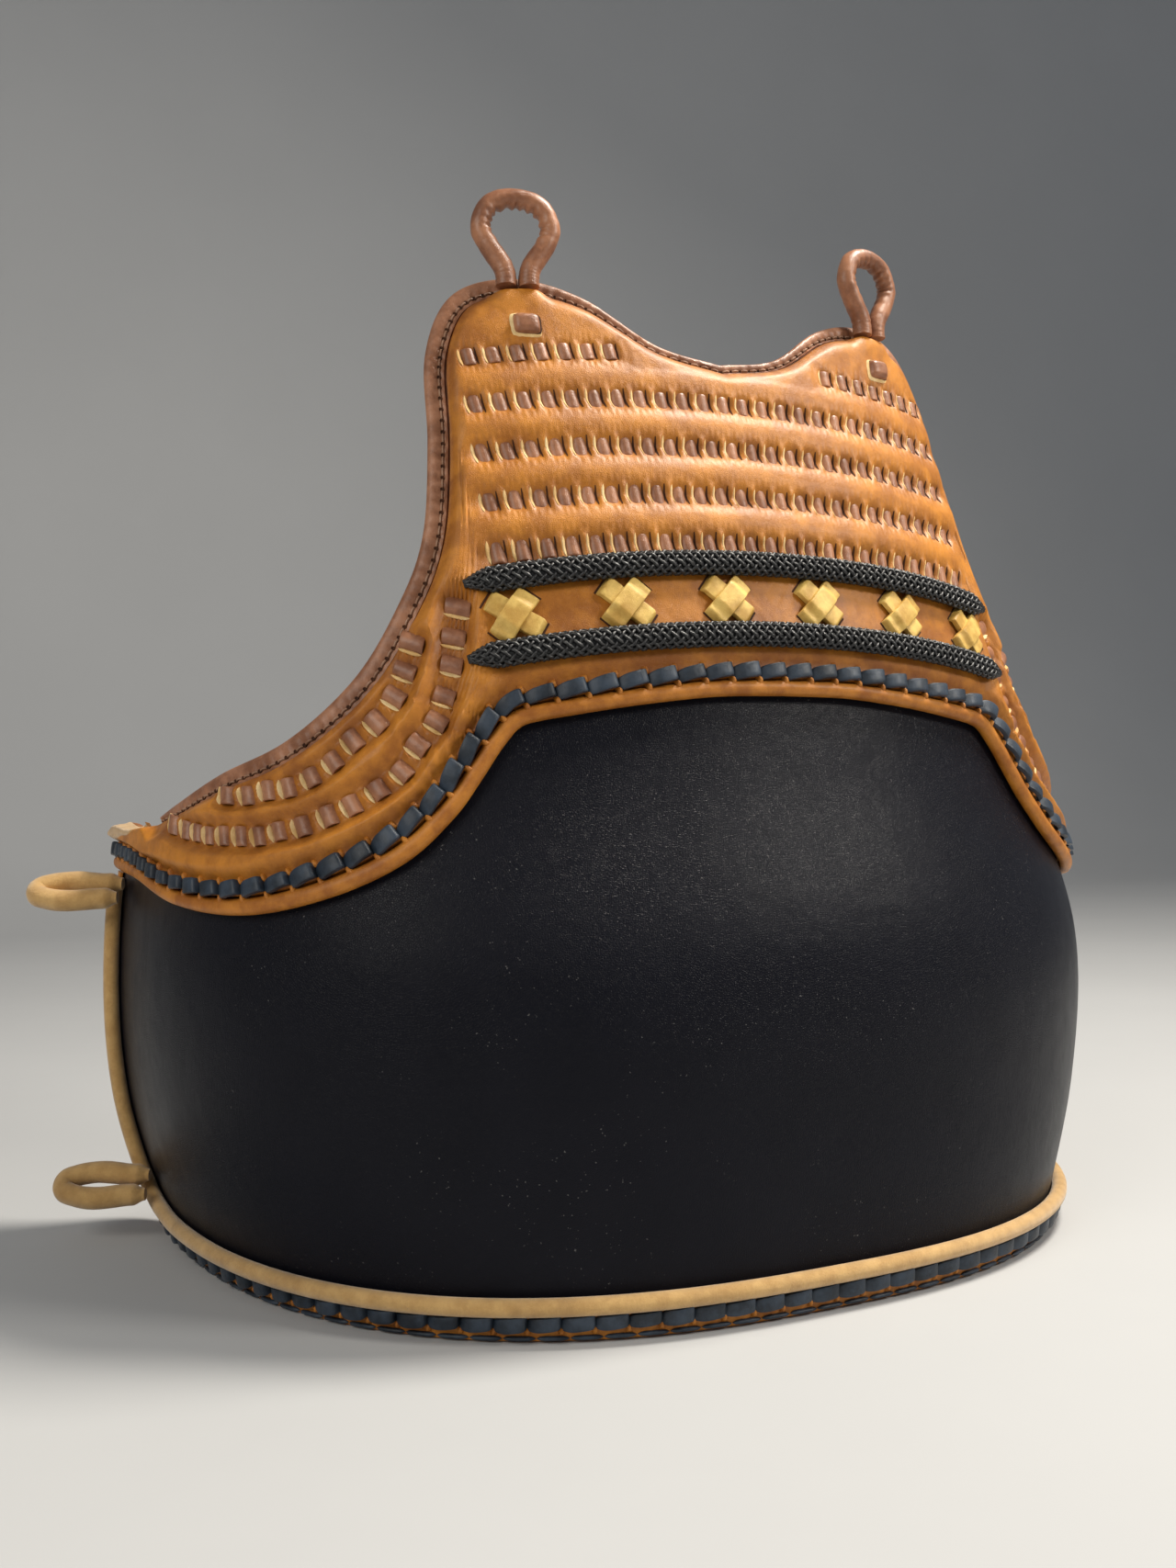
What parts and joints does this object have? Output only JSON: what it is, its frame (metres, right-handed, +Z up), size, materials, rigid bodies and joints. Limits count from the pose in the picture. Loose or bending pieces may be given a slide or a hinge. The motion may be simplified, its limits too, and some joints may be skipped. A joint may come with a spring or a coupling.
{
  "type": "kendo chest protector",
  "caption": "Kendo chest protector: rounded black shell under a quilted tan leather chest plate, laced edges, loops, two cords and small crosses.",
  "frame": {"origin": "centre of the bounding box in X and Y, on the plane the base edge stands on", "axes": "+Z up, the chest faces -Y, the wearer's left is towards +X"},
  "size_m": [0.5449, 0.2719, 0.4571],
  "materials": {
    "black_leather": "grained black leather over the hard shell, satin",
    "tan_leather": "smooth tan leather, soft sheen",
    "brown_leather": "smooth brown leather, soft sheen",
    "suede": "pale tan suede, matt",
    "indigo_strap": "dark blue grey leather strap, satin",
    "black_cord": "tightly braided black cord",
    "yellow_leather": "pale yellow leather, soft sheen"
  },
  "bodies": {
    "root": {"binding": "brown_leather", "chest_plate": "tan_leather", "cord_lower": "black_cord", "cord_upper": "black_cord", "cross_1_over": "yellow_leather", "cross_1_under": "yellow_leather", "cross_2_over": "yellow_leather", "cross_2_under": "yellow_leather", "cross_3_over": "yellow_leather", "cross_3_under": "yellow_leather", "cross_4_over": "yellow_leather", "cross_4_under": "yellow_leather", "cross_5_over": "yellow_leather", "cross_5_under": "yellow_leather", "cross_6_over": "yellow_leather", "cross_6_under": "yellow_leather", "edge_band": "tan_leather", "edge_lacing": "indigo_strap", "edge_roll": "suede", "hem_lacing": "indigo_strap", "hem_roll": "tan_leather", "shell": "black_leather", "shoulder_loop_left": "brown_leather", "shoulder_loop_right": "brown_leather", "shoulder_tab_left": "brown_leather", "shoulder_tab_right": "brown_leather", "side_loop_lower_left": "suede", "side_loop_lower_right": "suede", "side_loop_upper_left": "suede", "side_loop_upper_right": "suede"}
  },
  "joints": []
}
